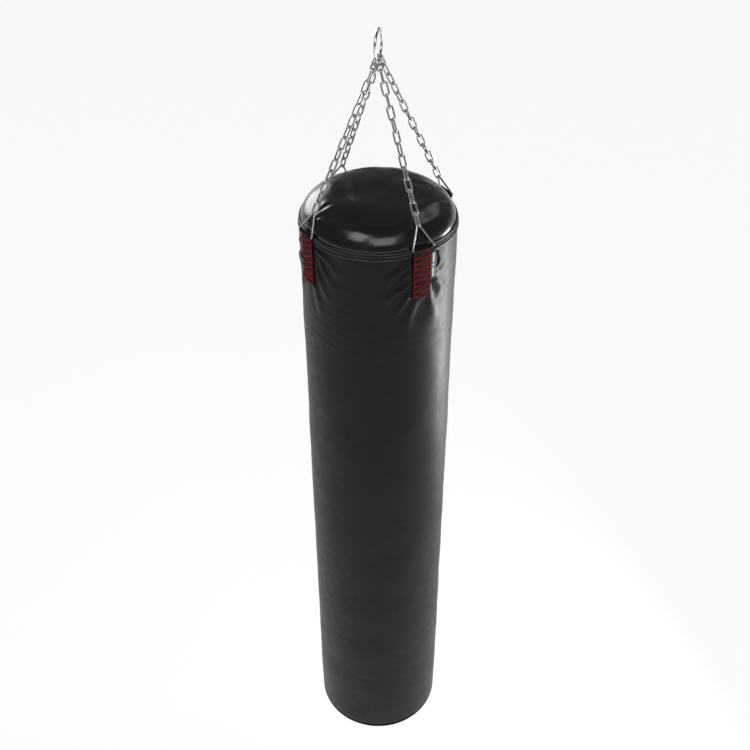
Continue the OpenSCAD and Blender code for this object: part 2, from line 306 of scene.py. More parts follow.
def steel(name, tone, rough):
    """Bright zinc plate: cloudy spangle, fine drawing lines and dull spots."""
    m = Material(name, rough, metallic=1.0)
    cloud = m.noise(240, 4)
    m.colour(m.mix(m.spread(cloud, 0.35, 0.7), grey(tone, (1, 1, 1.02)), grey(tone * 0.8, (0.98, 1, 1.03))))
    m.roughness(m.spread(m.noise(700, 3), 0.3, 0.75, rough - 0.06, rough + 0.12))
    m.bump(m.noise(900, 3), 0.12, 0.0001)
    m.bump(cloud, 0.1, 0.0003)
    return m.material


def webbing(name, tone, pitch=0.0017, sheen=0.3):
    """Woven tape: a plain weave along its own coordinates, fuzzed by noise."""
    m = Material(name, 0.8, specular=0.12)
    x, y, _ = m.parts(m.attribute())
    k = 2 * PI / pitch
    across = m.math("SINE", m.math("MULTIPLY", x, k))
    turned = m.math("MULTIPLY", m.math("SIGN", across), PI / 2)
    along = m.math("SINE", m.math("ADD", m.math("MULTIPLY", y, k * 0.8), turned))
    weave = m.spread(m.math("MULTIPLY", m.math("ABSOLUTE", across), along), -0.9, 0.9)
    fuzz = m.noise(900, 3)
    m.colour(m.mix(m.math("MULTIPLY", weave, fuzz), grey(tone * 0.45), grey(tone * 1.9)))
    m.roughness(m.spread(fuzz, 0.3, 0.8, 0.68, 0.92))
    m.bump(weave, 0.5, 0.0004)
    m.bump(fuzz, 0.3, 0.0002)
    m.shader.inputs["Sheen Weight"].default_value = sheen
    return m.material


def thread(name, colour):
    """Thick bonded thread: a twist of fine noise, darker where it is dirty."""
    m = Material(name, 0.5, specular=0.15)
    dark = tuple(c * 0.45 for c in colour)
    m.colour(m.mix(m.spread(m.noise(420, 4), 0.3, 0.62), dark, colour))
    m.roughness(m.spread(m.noise(1300, 2), 0.3, 0.7, 0.4, 0.62))
    m.bump(m.noise(1500, 2), 0.4, 0.0002)
    return m.material


def plastic(name, tone, rough):
    """Nylon zip teeth and end pieces: smooth, a little worn at random spots."""
    m = Material(name, rough, specular=0.5)
    worn = m.noise(160, 4)
    m.colour(m.mix(m.spread(worn, 0.4, 0.7), grey(tone), grey(tone * 2.2)))
    m.roughness(m.spread(m.noise(500, 3), 0.3, 0.7, rough - 0.08, rough + 0.12))
    m.bump(m.noise(1100, 2), 0.15, 0.0001)
    return m.material


def foam(name, tone, scale, tint=(1, 1, 1)):
    """Open foam or packed rags: cells or tufts."""
    m = Material(name, 0.9, specular=0.15)
    cell = m.cells(scale)
    m.colour(m.mix(m.spread(cell, 0.1, 0.7), grey(tone * 0.6, tint), grey(tone, tint)))
    m.roughness(m.spread(m.noise(scale * 0.3, 3), 0.3, 0.7, 0.82, 0.98))
    m.bump(cell, 0.5, 0.0006)
    m.bump(m.noise(scale * 2, 3), 0.3, 0.0003)
    return m.material


def label_cloth(name, height):
    """Satin tag: black with one plain light stripe, broken by a plain blue dot."""
    m = Material(name, 0.5, specular=0.35)
    x, y, _ = m.parts(m.attribute())
    weave = m.math("MULTIPLY", m.math("SINE", m.math("MULTIPLY", x, 9000)),
                   m.math("SINE", m.math("MULTIPLY", y, 7000)))
    frayed = m.math("MULTIPLY", m.math("SUBTRACT", m.noise(1500, 2), 0.5), 0.0005)
    off = m.math("ABSOLUTE", m.math("ADD", m.math("SUBTRACT", x, 0.0002), frayed))
    stripe = m.spread(off, 0.0017, 0.0022, 1, 0)
    from_mid = m.math("SUBTRACT", y, height / 2)
    middle = m.math("ABSOLUTE", from_mid)
    inside = m.math("MULTIPLY", m.spread(middle, 0.0062, 0.0068), m.spread(middle, 0.029, 0.0295, 1, 0))
    round_off = m.math("SQRT", m.math("ADD", m.math("POWER", off, 2.0), m.math("POWER", middle, 2.0)))
    dot = m.spread(round_off, 0.0036, 0.0041, 1, 0)
    ground = m.mix(m.spread(weave, -1, 1), grey(0.005), grey(0.012))
    striped = m.mix(m.math("MULTIPLY", stripe, inside), ground, grey(0.7, (1, 1, 0.98)))
    m.colour(m.mix(dot, striped, (0.2, 0.42, 0.55)))
    m.roughness(m.spread(m.noise(600, 3), 0.3, 0.7, 0.42, 0.6))
    m.bump(weave, 0.25, 0.0001)
    return m.material


BODY_VINYL = vinyl("body_vinyl", 0.005, 0.009, 0.42, 0.15, 0.2)
BOTTOM_VINYL = vinyl("bottom_vinyl", 0.005, 0.009, 0.44, 0.15, 0.24)
LID_VINYL = vinyl("lid_vinyl", 0.005, 0.009, 0.17, 0.5, 0.04, 0.06)
# The piping and welt beads get a lighter vinyl than the body's: a painted highlight along the beads
HIGHLIGHT_PIPING_VINYL = vinyl("piping_cover_painted_highlight", 0.008, 0.014, 0.27, 0.5, 0.1, 0.1)
# The chains and triangle rings get a darker zinc than the hanging ring: painted shade on the chains
SHADED_CHAIN_STEEL = steel("chain_zinc_shaded", 0.46, 0.24)
RING_STEEL = steel("ring_zinc", 0.62, 0.17)
ZIP_STEEL = steel("zip_metal_plate", 0.45, 0.3)
STRAP_WEB = webbing("strap_webbing", 0.006, sheen=0.0)
INNER_WEB = webbing("inner_webbing", 0.05, 0.0015)
TAPE_WEB = webbing("zip_tape_cloth", 0.012, 0.0008, 0.15)
RED_THREAD = thread("red_thread", (0.46, 0.002, 0.008))
COIL = plastic("zip_coil_nylon", 0.03, 0.35)
LINER_FOAM = foam("liner_foam_cells", 0.12, 900)
PAD_FOAM = foam("pad_foam_cells", 0.1, 700, (0.95, 1, 1))
RAGS = foam("packed_rags", 0.25, 130, (1, 0.97, 0.92))
LABEL = label_cloth("label_satin", 0.067)


# ---------------------------------------------------------------- mesh helpers
def grid_faces(rows, cols, wrap_rows=False, wrap_cols=False):
    i, j = np.meshgrid(np.arange(rows if wrap_rows else rows - 1),
                       np.arange(cols if wrap_cols else cols - 1), indexing="ij")
    i2, j2 = (i + 1) % rows, (j + 1) % cols
    return np.stack([i * cols + j, i * cols + j2, i2 * cols + j2, i2 * cols + j], -1).reshape(-1, 4)


def joined(parts):
    """Several (verts, faces) as one, where faces are lists of indices."""
    verts, faces, start = [], [], 0
    for v, f in parts:
        verts.append(np.asarray(v, float).reshape(-1, 3))
        faces.extend((np.asarray(x) + start).tolist() for x in f)
        start += len(verts[-1])
    return np.concatenate(verts), faces


def add_piece(name, verts, faces, material, body, replaces=(), lay=None, weld=False):
    """Makes a closed mesh with outward faces, and rides it on a body unless body is None."""
    mesh = bpy.data.meshes.new(name)
    faces = faces.tolist() if isinstance(faces, np.ndarray) else faces
    mesh.from_pydata(np.asarray(verts, float).reshape(-1, 3).tolist(), [], faces)
    if lay is not None:
        layer = mesh.attributes.new("lay", "FLOAT_VECTOR", "POINT")
        layer.data.foreach_set("vector", np.asarray(lay, np.float32).ravel())
    bm = bmesh.new()
    bm.from_mesh(mesh)
    if weld:
        bmesh.ops.remove_doubles(bm, verts=bm.verts, dist=1e-7)
    bmesh.ops.recalc_face_normals(bm, faces=bm.faces)
    bm.to_mesh(mesh)
    bm.free()
    mesh.polygons.foreach_set("use_smooth", [True] * len(mesh.polygons))
    mesh.materials.append(material)
    piece = bpy.data.objects.new(name, mesh)
    bpy.context.scene.collection.objects.link(piece)
    if body:
        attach(piece, body)
    if replaces:
        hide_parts(*replaces)
    return piece


def loop_tube(path, normal, radius, sides=14):
    """A closed tube round a flat closed path. radius is a number or one per point."""
    path = np.asarray(path, float)
    tangent = np.roll(path, -1, 0) - np.roll(path, 1, 0)
    tangent /= np.linalg.norm(tangent, axis=1)[:, None]
    normal = np.asarray(normal, float) / np.linalg.norm(normal)
    side = np.cross(tangent, normal)
    turn = np.linspace(0, 2 * PI, sides, endpoint=False)
    radius = np.broadcast_to(radius, len(path))[:, None, None]
    verts = path[:, None] + radius * (np.cos(turn)[None, :, None] * side[:, None]
                                      + np.sin(turn)[None, :, None] * normal)
    return verts.reshape(-1, 3), grid_faces(len(path), sides, True, True)


def stitches(starts, ends, ups, radius, sides=6):
    """Short threads from starts to ends that rise out of the cloth and sink back into it."""
    starts, ends, ups = (np.asarray(x, float) for x in (starts, ends, ups))
    along = ends - starts
    tangent = along / np.linalg.norm(along, axis=1)[:, None]
    side = np.cross(tangent, ups)
    side /= np.linalg.norm(side, axis=1)[:, None]
    up = np.cross(side, tangent)
    turn = np.linspace(0, 2 * PI, sides, endpoint=False)
    # Each ring of a stitch: how far along it is, how wide, and how far it lifts
    steps = ((0, 0.45, -0.75), (0.1, 0.85, -0.1), (0.35, 1, 0.3),
             (0.65, 1, 0.3), (0.9, 0.85, -0.1), (1, 0.45, -0.75))
    rings = []
    for t, wide, lift in steps:
        centre = starts + along * t + up * (lift * radius)
        rings.append(centre[:, None] + radius * wide * (np.cos(turn)[None, :, None] * side[:, None]
                                                        + np.sin(turn)[None, :, None] * up[:, None]))
    verts = np.stack(rings, 1)
    per = len(steps) * sides
    one = grid_faces(len(steps), sides, False, True).tolist()
    caps = [list(range(sides))[::-1], list(range(per - sides, per))]
    faces = [[i + k * per for i in f] for k in range(len(starts)) for f in one + caps]
    return verts.reshape(-1, 3), faces


def stitch_row(place, a, b, pitch, fill=0.86):
    """Starts and ends of stitches on the straight line from a to b in a surface's coordinates."""
    a, b = np.asarray(a, float), np.asarray(b, float)
    n = max(1, round(float(np.linalg.norm(b - a)) / pitch))
    cuts = np.linspace(0, 1, n + 1)
    starts = [a + (b - a) * t for t in cuts[:-1]]
    ends = [s + (b - a) / n * fill for s in starts]
    return [place(*s) for s in starts], [place(*e) for e in ends]


def waves(points, size, seed, count=24):
    """A smooth random field of about unit height, with features of about that size."""
    rng = np.random.default_rng(seed)
    way = rng.normal(size=(count, points.shape[1]))
    way /= np.linalg.norm(way, axis=1)[:, None]
    pitch = 2 * PI / size * rng.uniform(0.55, 1.5, count)
    total = np.zeros(len(points))
    for w, k, phase in zip(way, pitch, rng.uniform(0, 2 * PI, count)):
        total += np.sin(points @ w * k + phase)
    return total / math.sqrt(count / 2)


def smooth(x, low, high):
    t = np.clip((x - low) / (high - low), 0, 1)
    return t * t * (3 - 2 * t)


def hump(x, width):
    return np.exp(-(x / width) ** 2)


def wrapped(angle):
    """An angle in radians, brought to between -pi and pi."""
    return (angle + PI) % (2 * PI) - PI


def round_axis(r, az, z):
    """Points round the bag's axis, from their radii, azimuths and heights."""
    return np.stack([r * np.cos(az), r * np.sin(az), z], 1)


def settled(verts):
    """Lifts the rim where the two front straps pull on it, and lets it sag between them."""
    verts = np.array(verts, float)
    az, r, z = np.arctan2(verts[:, 1], verts[:, 0]), np.hypot(verts[:, 0], verts[:, 1]), verts[:, 2] - SEAM
    rise = np.zeros(len(verts))
    for name in ("front_right", "front_left"):
        s = wrapped(az - math.radians(STRAPS[name])) * BAG_R
        rise += RIM_RISE * hump(s, 44 * MM)
    behind = wrapped(az - PI / 2) * BAG_R
    rise -= RIM_SAG * (1 - hump(behind, 150 * MM))
    verts[:, 2] += rise * smooth(r, 70 * MM, 168 * MM) * smooth(z, -170 * MM, 0)
    return verts


def lathe(profile, azimuths, wrap=True):
    """A closed profile of (r, z) turned round the bag's axis. z is measured from the seam."""
    profile = np.asarray(profile, float)
    az = np.asarray(azimuths, float)
    r, z = profile[:, 0], profile[:, 1]
    verts = np.stack([np.cos(az)[:, None] * r, np.sin(az)[:, None] * r,
                      np.broadcast_to(z + SEAM, (len(az), len(z)))], -1)
    k = len(profile)
    faces = grid_faces(len(az), k, wrap, True).tolist()
    if not wrap:
        faces += [list(range(k)), list(range((len(az) - 1) * k, len(az) * k))]
    return verts.reshape(-1, 3), faces


def rounded_box(r0, r1, z0, z1, bevel, step=3 * MM, corner=3):
    """The outline of a band's cut, with rounded corners and evenly spaced points."""
    pts = []
    for cr, cz, a0 in ((r1 - bevel, z1 - bevel, 0), (r0 + bevel, z1 - bevel, 90),
                       (r0 + bevel, z0 + bevel, 180), (r1 - bevel, z0 + bevel, 270)):
        for i in range(corner + 1):
            a = math.radians(a0 + 90 * i / corner)
            pts.append((cr + bevel * math.cos(a), cz + bevel * math.sin(a)))
    out = []
    for p, q in zip(pts, pts[1:] + pts[:1]):
        n = max(1, int(math.hypot(q[0] - p[0], q[1] - p[1]) / step))
        out += [(p[0] + (q[0] - p[0]) * i / n, p[1] + (q[1] - p[1]) * i / n) for i in range(n)]
    return out


# ---------------------------------------------------------------- ring, chains and triangle rings
def principal(points):
    """(centre, axes, half sizes) of a cloud of points, longest axis first."""
    mean = points.mean(0)
    axes = np.linalg.eigh(np.cov((points - mean).T))[1].T[::-1]
    along = (points - mean) @ axes.T
    low, high = along.min(0), along.max(0)
    return mean + ((low + high) / 2) @ axes, axes, (high - low) / 2


def loose_parts(node):
    """The points of each separate solid of a CAD node."""
    bm = bmesh.new()
    bm.from_mesh(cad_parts[node].data)
    bmesh.ops.remove_doubles(bm, verts=bm.verts, dist=1e-6)
    seen, parts = set(), []
    for start in bm.verts:
        if start in seen:
            continue
        seen.add(start)
        stack, found = [start], []
        while stack:
            v = stack.pop()
            found.append(tuple(v.co))
            for e in v.link_edges:
                w = e.other_vert(v)
                if w not in seen:
                    seen.add(w)
                    stack.append(w)
        parts.append(np.array(found))
    bm.free()
    return parts


def rounded_loop(corners, radii, steps):
    """Points of a closed flat path with rounded corners, in order. Corners are 2-D."""
    out = []
    n = len(corners)
    for i in range(n):
        p, q, s = (np.array(corners[(i + k) % n], float) for k in (-1, 0, 1))
        u, v = (p - q) / np.linalg.norm(p - q), (s - q) / np.linalg.norm(s - q)
        half = math.acos(float(np.clip(u @ v, -1, 1))) / 2
        r = radii[i % len(radii)]
        middle = q + (u + v) / np.linalg.norm(u + v) * r / math.sin(half)
        a, b = q + u * r / math.tan(half) - middle, q + v * r / math.tan(half) - middle
        a0, a1 = math.atan2(a[1], a[0]), math.atan2(b[1], b[0])
        sweep = wrapped(a1 - a0)
        out += [middle + r * np.array([math.cos(a0 + sweep * t), math.sin(a0 + sweep * t)])
                for t in np.linspace(0, 1, steps + 1)]
    return np.array(out)


def densified(path, step):
    out = []
    for p, q in zip(path, np.roll(path, -1, 0)):
        n = max(1, int(np.linalg.norm(q - p) / step))
        out += [p + (q - p) * i / n for i in range(n)]
    return np.array(out)


def build_ring():
    lo, hi = (np.array(x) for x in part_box("hanging_ring"))
    centre, wire = (lo + hi) / 2, (hi[0] - lo[0]) / 2
    radius = (hi[1] - lo[1]) / 2 - wire
    turn = np.linspace(0, 2 * PI, 160, endpoint=False)
    path = centre + radius * np.stack([0 * turn, np.cos(turn), np.sin(turn)], 1)
    weld = hump((turn - 3.9) * radius, 3.2 * MM)
    rough = waves(path, 0.004, 5) * 0.04 * MM
    verts, faces = loop_tube(path, (1, 0, 0), wire * 0.99 + weld * 0.35 * MM + rough * (weld > 0.05), 24)
    add_piece("ring_wire", verts, faces, RING_STEEL, "ring", ["hanging_ring"])


def build_chain(name):
    rng = np.random.default_rng(len(name))
    parts = []
    for points in loose_parts(f"chain_{name}"):
        centre, axes, half = principal(points)
        wire = half[2]
        a, b = half[0] - wire, half[1] - wire
        flat = rounded_loop([(b, a), (-b, a), (-b, -a), (b, -a)], [b * 0.9], 7)
        flat = densified(flat, 2.2 * MM)
        path = centre + flat[:, :1] * axes[1] + flat[:, 1:] * axes[0]
        side = 1 if rng.random() < 0.5 else -1
        weld = hump(flat[:, 1], 1.7 * MM) * (flat[:, 0] * side > 0)
        parts.append(loop_tube(path, axes[2], wire * 0.985 + weld * 0.28 * MM, 14))
    verts, faces = joined(parts)
    add_piece(f"chain_links_{name}", verts, faces, SHADED_CHAIN_STEEL, "bag", [f"chain_{name}"])


def triangle_frame(name):
    """Centre of the bar, the two directions and the sizes of a triangle ring."""
    points = np.concatenate(loose_parts(f"triangle_{name}"))
    az = math.radians(STRAPS[name])
    across = np.array([-math.sin(az), math.cos(az), 0])
    thin = principal(points)[1][2]
    up = np.cross(thin, across)
    up = up if up[2] > 0 else -up
    heights, wide = points @ up, points @ across
    wire = 2 * MM
    base = (heights.min() + wire) * up + (points @ thin).mean() * thin
    base += (wide.max() + wide.min()) / 2 * across
    return base, across, up, np.ptp(wide) / 2 - wire, np.ptp(heights) - 2 * wire


def build_triangle(name):
    base, across, up, half, height = triangle_frame(name)
    tip_half = 2.2 * MM
    flat = rounded_loop([(half, 0), (tip_half * 0.95, height + 1.6 * MM), (-tip_half * 0.95, height + 1.6 * MM),
                         (-half, 0)], [3.4 * MM, 2.1 * MM, 2.1 * MM, 3.4 * MM], 10)
    flat[:, 1] -= flat[:, 1].max() - height
    lowered = flat[:, 1] - flat[:, 1].min() * (1 - flat[:, 1] / height)
    flat[:, 1] = np.where(flat[:, 1] < height * 0.5, lowered, flat[:, 1])
    flat = densified(flat, 2.5 * MM)
    path = base + flat[:, :1] * across + flat[:, 1:] * up
    weld = hump(flat[:, 0] - 4 * MM, 1.6 * MM) * (flat[:, 1] < 4 * MM)
    verts, faces = loop_tube(path, np.cross(across, up), 1.96 * MM + weld * 0.2 * MM, 16)
    add_piece(f"triangle_ring_{name}", verts, faces, SHADED_CHAIN_STEEL, "bag", [f"triangle_{name}"])


build_ring()
for strap in STRAPS:
    build_chain(strap)
    build_triangle(strap)


# ---------------------------------------------------------------- the cover and its folds
# Each fold runs from a point beside a strap to a point away from it, in mm from the strap's middle
# and from the seam: (s0, z0, s1, z1, height, width at the start, width at the end, bow)
FOLDS = {
    "front_right": [
        (-22, -5, -60, -24, 2.2, 3.4, 8, 3),
        (-22, -13, -92, -77, 5.1, 5.2, 11.5, 9),
        (-22, -37, -76, -88, 2.1, 4.6, 9.2, 6),
        (-22, -62, -100, -138, 4.5, 5.8, 13.8, 9),
        (-20, -88, -76, -180, 3.3, 6.9, 16.1, 8),
        (-14, -107, -40, -214, 2.4, 8, 17.2, 4),
        (36, -5, 58, -50, 3.6, 5.2, 9.2, -6),
        (37, -48, 62, -20, 2.4, 5.8, 9.2, 5),
        (30, -74, 70, -131, 3.9, 8, 18.4, -8),
        (22, -101, 40, -204, 2.7, 8, 20.7, -4),
    ],
    "front_left": [
        (22, -5, 62, -33, 2.2, 4, 9.2, -4),
        (22, -11, 74, -99, 5.1, 5.2, 10.3, -8),
        (26, -5, 96, -62, 3.3, 5.8, 12.6, -9),
        (22, -53, 60, -140, 3.3, 5.8, 12.6, -6),
        (18, -96, 44, -195, 2.2, 8, 14.9, -4),
        (-22, -11, -64, -53, 4.5, 5.8, 11.5, 6),
        (-22, -53, -72, -103, 4.8, 6.9, 13.8, 7),
        (-20, -88, -60, -168, 3.3, 8, 14.9, 6),
    ],
    "back_right": [
        (22, -7, 76, -57, 4.2, 5.2, 11.5, -7),
        (22, -46, 88, -121, 3.9, 5.8, 13.8, -8),
        (20, -86, 64, -173, 3, 6.9, 14.9, -6),
        (-22, -5, -70, -38, 3.3, 4.6, 10.3, 5),
        (-22, -29, -92, -99, 4.5, 5.8, 12.6, 8),
        (-20, -77, -66, -162, 3.3, 6.9, 14.9, 6),
    ],
    "back_left": [
        (22, -5, 66, -42, 3.6, 4.6, 10.3, -5),
        (22, -33, 90, -105, 4.5, 5.8, 13.8, -8),
        (20, -81, 60, -168, 3, 6.9, 14.9, -6),
        (-22, -9, -80, -66, 4.5, 5.8, 11.5, 8),
        (-22, -57, -84, -131, 3.6, 5.8, 13.8, 7),
        (-18, -94, -50, -188, 2.7, 8, 16.1, 5),
    ],
}


def fold(s, z, s0, z0, s1, z1, high, w0, w1, bow):
    """The height of one fold: a ridge with a valley under it, fading away from the strap."""
    ds, dz = s1 - s0, z1 - z0
    long = math.hypot(ds, dz)
    t = ((s - s0) * ds + (z - z0) * dz) / long**2
    inside = np.clip(t, 0, 1)
    off = ((s - s0) * dz - (z - z0) * ds) / long - bow * 4 * inside * (1 - inside)
    off = off if ds > 0 else -off
    w = w0 + (w1 - w0) * inside
    fade = smooth(t, -0.06, 0.12) * (1 - smooth(t, 0.35, 1.0))
    return high * fade * (hump(off, w) - 0.75 * hump(off - 1.7 * w, w * 1.1) - 0.3 * hump(off + 1.9 * w, w * 1.3))


def cover_push(az, z):
    """How far the cover stands off its plain radius, in mm. z is in mm from the seam."""
    total = np.zeros(len(az))
    points = np.stack([np.cos(az) * 175, np.sin(az) * 175, z], 1)
    for name, folds in FOLDS.items():
        s = wrapped(az - math.radians(STRAPS[name])) * 175
        here = (np.abs(s) < 150) & (z > -280)
        part = np.zeros(here.sum())
        wander = waves(points[here], 60, 11) * 1.8
        for row in folds:
            part += fold(s[here] + wander, z[here] - wander, *row)
        # Small puckers along the sewn edges of the strap
        edge = np.abs(np.abs(s[here]) - 24)
        rows = np.sin(z[here] * 2 * PI / 15.4 + np.sign(s[here]) * 1.1)
        part += 0.5 * rows * hump(edge - 3, 4.5) * (z[here] > -108)
        held = smooth(np.abs(s[here]), 23, 30)
        low = smooth(-z[here], 102, 112)
        part = part * np.maximum(held, low) - 0.6 * (1 - held) * (1 - low) * (z[here] > -116)
        if name == "front_right":
            tag = smooth(s[here], 22, 25) * (1 - smooth(s[here], 39, 44)) * (1 - smooth(-z[here], 68, 80))
            part = part * (1 - tag) - 0.2 * tag
        total[here] += part
    # The vinyl swells a little between the straps under the welt, and is a little uneven all over
    swell = np.cos(4 * az) * -0.9 * hump(z + 55, 60) - 1.3 * hump(z + 3.5, 3)
    slack = waves(points * (1, 1, 0.7), 150, 3) * 0.55 * smooth(-z, 5, 60)
    fine = waves(points * (1, 1, 2.2), 46, 4) * 0.12 * smooth(-z, 6, 40)
    ripple = np.sin(z / 5.2 + waves(points, 90, 9)) * 0.28 * hump(z + 14, 12) * (0.5 + 0.5 * waves(points, 70, 8))
    low_fill = -0.8 * hump(z + 420, 160) + 0.7 * hump(z + 1500, 260)
    return total + swell + slack + fine + ripple + low_fill


def build_cover():
    cols = 480
    az = np.linspace(0, 2 * PI, cols, endpoint=False)
    z = np.concatenate([np.linspace(0, -260, 118, endpoint=False), np.linspace(-260, -BAG_LEN / MM, 130)])
    grid_az, grid_z = np.tile(az, len(z)), np.repeat(z, cols)
    push = cover_push(grid_az, grid_z)
    push *= smooth(-grid_z, -1, 7)
    push = push * (1 - smooth(-grid_z, BAG_LEN / MM - 30, BAG_LEN / MM)) - 0.2
    push -= 1.2 * hump(grid_z + BAG_LEN / MM, 2.2)
    outer = round_axis(BAG_R + push * MM, grid_az, grid_z * MM + SEAM)
    inner_z = np.linspace(-BAG_LEN / MM, 0, 60)
    in_az, in_z = np.tile(az, len(inner_z)), np.repeat(inner_z, cols)
    inner = round_axis(BAG_R - COVER_SHEET, in_az, in_z * MM + SEAM)
    verts = settled(np.concatenate([outer, inner]))
    faces = grid_faces(len(z) + len(inner_z), cols, True, True)
    cover = add_piece("cover_side", verts, faces, BODY_VINYL, "bag", ["side_cover"])


def bottom_height(r, full, deep):
    return -BAG_LEN - deep * np.sqrt(np.maximum(0, 1 - (r / full) ** 3))


def build_bottom():
    cols = 360
    az = np.linspace(0, 2 * PI, cols, endpoint=False)
    deep = SEAM - BAG_LEN - BOTTOM
    t = np.concatenate([np.linspace(0.5, 86, 60), np.linspace(86.5, 90, 8)])
    r = BAG_R * np.sin(np.radians(t))
    height = bottom_height(r, BAG_R, deep)
    r_in = (BAG_R - BOTTOM_SHEET) * np.sin(np.radians(t[::-1]))
    inner = bottom_height(r_in, BAG_R - BOTTOM_SHEET, deep - BOTTOM_SHEET)
    radii, heights = np.concatenate([r, r_in]), np.concatenate([height, inner])
    gr, gz = np.repeat(radii, cols), np.repeat(heights, cols)
    ga = np.tile(az, len(radii))
    points = round_axis(gr, ga, gz)
    gather = smooth(gr, 90 * MM, 168 * MM) * (1 - smooth(gr, 171 * MM, 174.5 * MM))
    rays = np.sin(ga * 46 + waves(points, 0.09, 21) * 2.0) * 0.35 * MM * gather
    slack = waves(points, 0.11, 22) * 0.8 * MM * (1 - smooth(gr, 150 * MM, 172 * MM))
    points[:, 2] += np.maximum(rays + slack, -BOTTOM_SHEET)
    points[:, 2] = np.maximum(points[:, 2], BOTTOM - SEAM - 1.5 * MM)
    points[:, :2] *= (1 - 0.9 * MM / BAG_R * hump(gz + BAG_LEN, 1.8 * MM))[:, None]
    points[:, 2] += SEAM
    faces = grid_faces(len(radii), cols, True, True)
    panel = add_piece("cover_bottom", points, faces, BOTTOM_VINYL, "bag", ["bottom_panel"])


build_cover()
build_bottom()


# ---------------------------------------------------------------- the lid
def lid_plain(r):
    """The filled lid's plain height above the seam at radius r, in mm."""
    part = np.minimum(r * MM / LID_R, 1)
    return 15 + LID_CROWN * (1 - part**2) + LID_PUFF * (1 - part**5) ** 0.625


def lid_height(x, y):
    """The lid's top above the seam, in mm, for x right and y away as the camera sees it, in mm."""
    edge = LID_R / MM
    r = np.hypot(x, y)
    points = np.stack([x, y], 1)
    high = lid_plain(r)
    slack = waves(points, 130, 32) * 1.2 + waves(points, 60, 33) * 0.3
    return high + slack * smooth(edge - r, 2, 40)


# The lid's creases, given as in FOLDS, in mm to the camera's right and away from it
LID_FOLDS = (
    # Folds that spread from the front left triangle ring
    (-132, -84, -20, -146, 2.0, 4, 9, 10),
    (-134, -78, -84, -66, 1.5, 3.5, 8, -3),
    (-128, -70, -100, -30, 1.1, 4, 9, -4),
    # The pad's edge, parallel to the rim at the front right
    (132, -64, 30, -142, 1.3, 5, 6, -16),
    # Two creases on the right
    (128, -38, 150, -4, 1.8, 3.5, 4, 2),
    (112, -58, 132, 20, 1.2, 12, 14, 4),
    # Two soft dents towards the back
    (70, 60, 140, 40, 0.8, 8, 14, 5),
    (-60, 120, 30, 138, 0.7, 8, 12, 5),
)


def lid_details(x, y):
    """Creases and puckers seen on the lid, in mm, in the camera's right and away."""
    r = np.hypot(x, y)
    az = np.degrees(np.arctan2(y, x))
    total = np.zeros(len(x))
    for row in LID_FOLDS:
        total += fold(x, y, *row)
    # Tiny gathers where the lid is sewn to its piping
    sector = smooth(az, -124, -112) * (1 - smooth(az, -84, -74))
    ring = np.stack([np.cos(np.radians(az)), np.sin(np.radians(az))], 1) * 170
    pitch = np.sin(np.radians(az) * 160 + waves(ring, 30, 36) * 2.0)
    total += pitch * (0.08 + 0.28 * sector) * hump(r - 166.5, 3.2)
    return total * (1 - smooth(r, 169, 172))


def build_lid():
    cols, rows = 432, 128
    az = np.linspace(0, 2 * PI, cols, endpoint=False)
    t = np.linspace(0.004, 1, rows)
    r = LID_R * np.sin(t * PI / 2)
    gr, ga = np.repeat(r, cols), np.tile(az, rows)
    x, y = gr * np.cos(ga), gr * np.sin(ga)
    vx = (x * math.cos(VIEW_TURN) + y * math.sin(VIEW_TURN)) / MM
    vy = (-x * math.sin(VIEW_TURN) + y * math.cos(VIEW_TURN)) / MM
    high = lid_height(vx, vy) + lid_details(vx, vy)
    top = np.stack([x, y, SEAM + high * MM], 1)
    centre = np.array([[0, 0, top[:cols, 2].mean()]])
    under = top * (1 - LID_SHEET / LID_R, 1 - LID_SHEET / LID_R, 1) - (0, 0, LID_SHEET)
    under_centre = centre - (0, 0, LID_SHEET)
    n = rows * cols
    verts = settled(np.concatenate([top, under, centre, under_centre]))
    faces = grid_faces(rows, cols, False, True).tolist()
    faces += (grid_faces(rows, cols, False, True)[:, ::-1] + n).tolist()
    j = np.arange(cols)
    j2 = (j + 1) % cols
    last = (rows - 1) * cols
    faces += np.stack([last + j, last + j2, n + last + j2, n + last + j], 1).tolist()
    faces += np.stack([np.full(cols, 2 * n), j2, j], 1).tolist()
    faces += np.stack([np.full(cols, 2 * n + 1), n + j, n + j2], 1).tolist()
    lid = add_piece("lid_top", verts, faces, LID_VINYL, None, ["lid", "lid_flap"])
    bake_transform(lid)


build_lid()


# ---------------------------------------------------------------- the rim: welt, piping and zip
def add_rim_piece(name, verts, faces, material, nodes, blended, lay=None):
    """Adds a piece of the rim, all on the bag or blended over the flap's fold."""
    piece = add_piece(name, settled(verts), faces, material, None if blended else "bag", nodes, lay=lay)
    if blended:
        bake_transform(piece)


def build_bead(name, r, z, wire, nodes, blended=False, wobble=0.25):
    """A vinyl bead round the rim, a little uneven along its length."""
    count, sides = 540, 12
    az = np.linspace(0, 2 * PI, count, endpoint=False)
    ring = np.stack([np.cos(az), np.sin(az)], 1) * 175
    up = waves(ring, 34, len(name)) * wobble * MM
    out = waves(ring, 22, len(name) + 1) * wobble * 0.5 * MM
    if name == "welt_bead":
        near = np.min([np.abs(wrapped(az - math.radians(a))) for a in STRAPS.values()], axis=0) * BAG_R
        out -= 0.85 * MM * (1 - smooth(near, 25 * MM, 32 * MM))
    path = round_axis(r + out, az, SEAM + z + up)
    thick = wire / 2 * (1 + 0.04 * waves(ring, 9, len(name) + 2))
    verts, faces = loop_tube(path, (0, 0, 1), thick, sides)
    add_rim_piece(name, verts, faces, HIGHLIGHT_PIPING_VINYL, nodes, blended)


